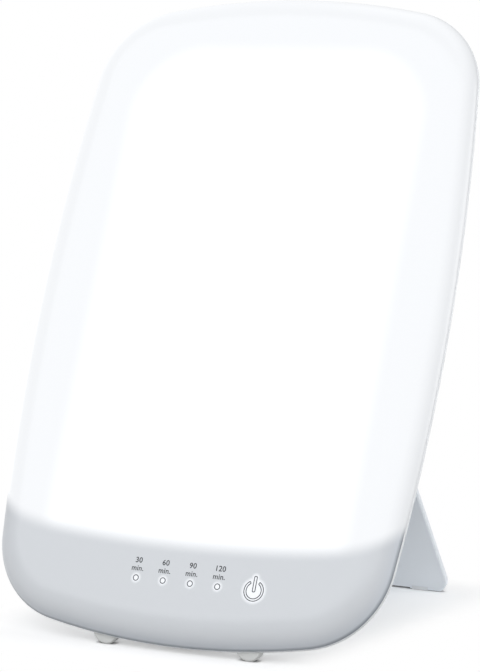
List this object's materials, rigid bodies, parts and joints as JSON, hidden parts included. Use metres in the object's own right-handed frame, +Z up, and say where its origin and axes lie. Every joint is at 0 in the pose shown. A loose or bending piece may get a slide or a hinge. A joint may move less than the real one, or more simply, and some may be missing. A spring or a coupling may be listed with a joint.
{
  "type": "light therapy lamp",
  "caption": "Large opal light panel with a touch-controlled timer zone, leaning back on front feet and a fold-out rear stand.",
  "frame": {"origin": "on the table, under the middle of the bounding box of the lamp with its stand open", "axes": "+X to the right of someone facing the lit front, +Y from the front to the stand behind, +Z up"},
  "size_m": [0.28, 0.2222, 0.3861],
  "materials": {
    "opal_cover": "satin opal",
    "housing": "satin",
    "stand": "fine matt texture",
    "pad": "matt",
    "foot": "matt",
    "diffuser": "matt",
    "guide": "polished clear",
    "reflector": "matt white film",
    "plate": "mill",
    "frame": "matt",
    "bar_board": "white solder mask",
    "led": "phosphor",
    "board": "green solder mask",
    "electrode": "conductive foam",
    "chip": "moulded epoxy",
    "capacitor": "sleeved can",
    "jack": "black moulded",
    "lead": "PVC insulation",
    "ribbon": "flat flexible cable",
    "screw": "zinc plated",
    "pin": "ground"
  },
  "bodies": {
    "lamp": {"front_cover": "opal_cover", "rear_housing": "housing", "foot_left": "foot", "foot_right": "foot", "diffuser_sheet": "diffuser", "light_guide": "guide", "reflector_sheet": "reflector", "back_plate": "plate", "mid_frame": "frame", "led_bar_left": "bar_board", "led_bar_right": "bar_board", "bar_leds_left": "led", "bar_leds_right": "led", "indicator_leds": "led", "control_board": "board", "driver_board": "board", "indicator_shroud": "frame", "touch_electrode": "electrode", "touch_chip": "chip", "driver_chip": "chip", "driver_inductor": "chip", "driver_capacitors": "capacitor", "dc_jack": "jack", "jack_lead": "lead", "bar_leads": "lead", "ribbon_cable": "ribbon", "housing_screws": "screw", "plate_screws": "screw", "board_screws": "screw", "hinge_pin_left": "pin", "hinge_pin_right": "pin"},
    "fold_stand": {"stand": "stand", "stand_pad_left": "pad", "stand_pad_right": "pad"}
  },
  "joints": [
    {"name": "stand_hinge", "type": "hinge", "parent": "lamp", "child": "fold_stand", "pos_m": [0, 0.023, 0.23502], "axis": [1, 0, 0], "range_deg": [-44.8, 0]}
  ]
}
